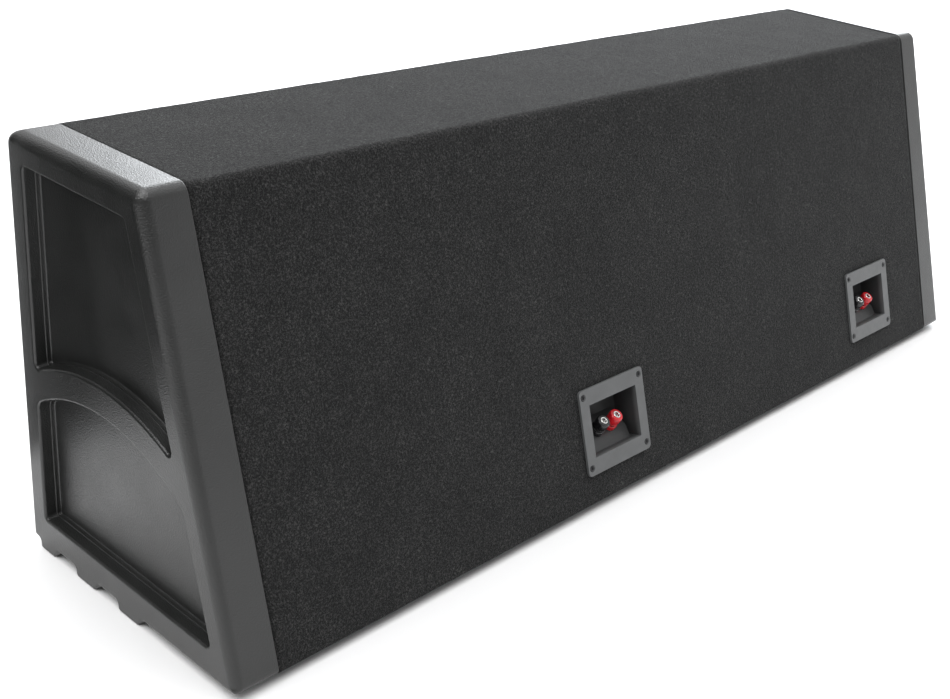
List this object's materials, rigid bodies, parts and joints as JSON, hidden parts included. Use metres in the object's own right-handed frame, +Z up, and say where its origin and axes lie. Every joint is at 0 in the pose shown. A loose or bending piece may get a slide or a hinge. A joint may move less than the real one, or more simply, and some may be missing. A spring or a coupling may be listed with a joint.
{
  "type": "twin woofer loudspeaker enclosure",
  "caption": "Carpeted wedge-shaped loudspeaker enclosure with moulded end caps, woofers in an upright baffle and recessed binding-post cups on its sloping rear.",
  "frame": {"origin": "middle of the bounding box in X and Y, on the plane that the moulded feet stand on", "axes": "+X along the length, -Y out of the woofer baffle, +Y out of the sloping rear with the terminal cups, +Z up"},
  "size_m": [1.034, 0.2816, 0.342],
  "materials": {
    "particle_board": "raw particle board, cut edges",
    "carpet": "black needled speaker carpet with fine grey flecks",
    "cap_plastic": "fine-grained dark grey moulded plastic, satin",
    "painted_steel": "black powder coat",
    "rubber": "matt black rubber",
    "cone_paper": "pressed black pulp",
    "dust_cap": "satin black",
    "spider_cloth": "resin-stiffened woven cotton",
    "coil_former": "aluminium former with copper winding",
    "plated_steel": "zinc plated",
    "ferrite": "ground ferrite",
    "cup_plastic": "satin dark grey moulded plastic",
    "foam": "closed-cell foam",
    "black_screw": "black oxide",
    "nickel": "bright nickel plate",
    "black_plastic": "glossy black",
    "red_plastic": "glossy red",
    "lead_jacket": "soft PVC jacket"
  },
  "bodies": {
    "cabinet": {"front_baffle": "particle_board", "rear_panel": "particle_board", "top_panel": "particle_board", "bottom_panel": "particle_board", "end_panel_left": "particle_board", "end_panel_right": "particle_board", "centre_divider": "particle_board", "carpet_wrap": "carpet", "end_cap_left": "cap_plastic", "end_cap_right": "cap_plastic", "basket_left": "painted_steel", "surround_left": "rubber", "trim_ring_left": "rubber", "spider_left": "spider_cloth", "top_plate_left": "plated_steel", "magnet_left": "ferrite", "yoke_left": "plated_steel", "terminal_cup_left": "cup_plastic", "cup_gasket_left": "foam", "speaker_lead_left": "lead_jacket", "cup_screw_left_1": "black_screw", "cup_screw_left_2": "black_screw", "cup_screw_left_3": "black_screw", "cup_screw_left_4": "black_screw", "post_collar_left_black": "black_plastic", "post_stud_left_black": "nickel", "post_collar_left_red": "red_plastic", "post_stud_left_red": "nickel", "basket_right": "painted_steel", "surround_right": "rubber", "trim_ring_right": "rubber", "spider_right": "spider_cloth", "top_plate_right": "plated_steel", "magnet_right": "ferrite", "yoke_right": "plated_steel", "terminal_cup_right": "cup_plastic", "cup_gasket_right": "foam", "speaker_lead_right": "lead_jacket", "cup_screw_right_1": "black_screw", "cup_screw_right_2": "black_screw", "cup_screw_right_3": "black_screw", "cup_screw_right_4": "black_screw", "post_collar_right_black": "black_plastic", "post_stud_right_black": "nickel", "post_collar_right_red": "red_plastic", "post_stud_right_red": "nickel"},
    "moving_cone_left": {"cone_left": "cone_paper", "dust_cap_left": "dust_cap", "voice_coil_left": "coil_former"},
    "moving_cone_right": {"cone_right": "cone_paper", "dust_cap_right": "dust_cap", "voice_coil_right": "coil_former"},
    "washer_left_black": {"post_washer_left_black": "nickel"},
    "knob_left_black": {"post_knob_left_black": "black_plastic"},
    "washer_left_red": {"post_washer_left_red": "nickel"},
    "knob_left_red": {"post_knob_left_red": "red_plastic"},
    "washer_right_black": {"post_washer_right_black": "nickel"},
    "knob_right_black": {"post_knob_right_black": "black_plastic"},
    "washer_right_red": {"post_washer_right_red": "nickel"},
    "knob_right_red": {"post_knob_right_red": "red_plastic"}
  },
  "joints": [
    {"name": "cone_travel_left", "type": "slide", "parent": "cabinet", "child": "moving_cone_left", "axis": [0, -1, 0], "range_m": [-0.008, 0.008], "stiffness_N_per_m": 5000, "deforming": ["surround_left", "spider_left"]},
    {"name": "cone_travel_right", "type": "slide", "parent": "cabinet", "child": "moving_cone_right", "axis": [0, -1, 0], "range_m": [-0.008, 0.008], "stiffness_N_per_m": 5000, "deforming": ["surround_right", "spider_right"]},
    {"name": "washer_travel_left_black", "type": "slide", "parent": "cabinet", "child": "washer_left_black", "axis": [0, 0.5144, 0.8576], "range_m": [0, 0.0035]},
    {"name": "knob_spin_left_black", "type": "hinge", "parent": "washer_left_black", "child": "knob_left_black", "pos_m": [-0.345, 0.10997, 0.05818], "axis": [0, 0.5144, 0.8576], "range_deg": [0, 1800]},
    {"name": "washer_travel_left_red", "type": "slide", "parent": "cabinet", "child": "washer_left_red", "axis": [0, 0.5144, 0.8576], "range_m": [0, 0.0035]},
    {"name": "knob_spin_left_red", "type": "hinge", "parent": "washer_left_red", "child": "knob_left_red", "pos_m": [-0.363, 0.10997, 0.05818], "axis": [0, 0.5144, 0.8576], "range_deg": [0, 1800]},
    {"name": "washer_travel_right_black", "type": "slide", "parent": "cabinet", "child": "washer_right_black", "axis": [0, 0.5144, 0.8576], "range_m": [0, 0.0035]},
    {"name": "knob_spin_right_black", "type": "hinge", "parent": "washer_right_black", "child": "knob_right_black", "pos_m": [0.106, 0.10997, 0.05818], "axis": [0, 0.5144, 0.8576], "range_deg": [0, 1800]},
    {"name": "washer_travel_right_red", "type": "slide", "parent": "cabinet", "child": "washer_right_red", "axis": [0, 0.5144, 0.8576], "range_m": [0, 0.0035]},
    {"name": "knob_spin_right_red", "type": "hinge", "parent": "washer_right_red", "child": "knob_right_red", "pos_m": [0.088, 0.10997, 0.05818], "axis": [0, 0.5144, 0.8576], "range_deg": [0, 1800]}
  ],
  "couplings": [
    {"joint": "knob_spin_left_black", "follows": "washer_travel_left_black", "rad_per_m": 8976},
    {"joint": "knob_spin_left_red", "follows": "washer_travel_left_red", "rad_per_m": 8976},
    {"joint": "knob_spin_right_black", "follows": "washer_travel_right_black", "rad_per_m": 8976},
    {"joint": "knob_spin_right_red", "follows": "washer_travel_right_red", "rad_per_m": 8976}
  ]
}
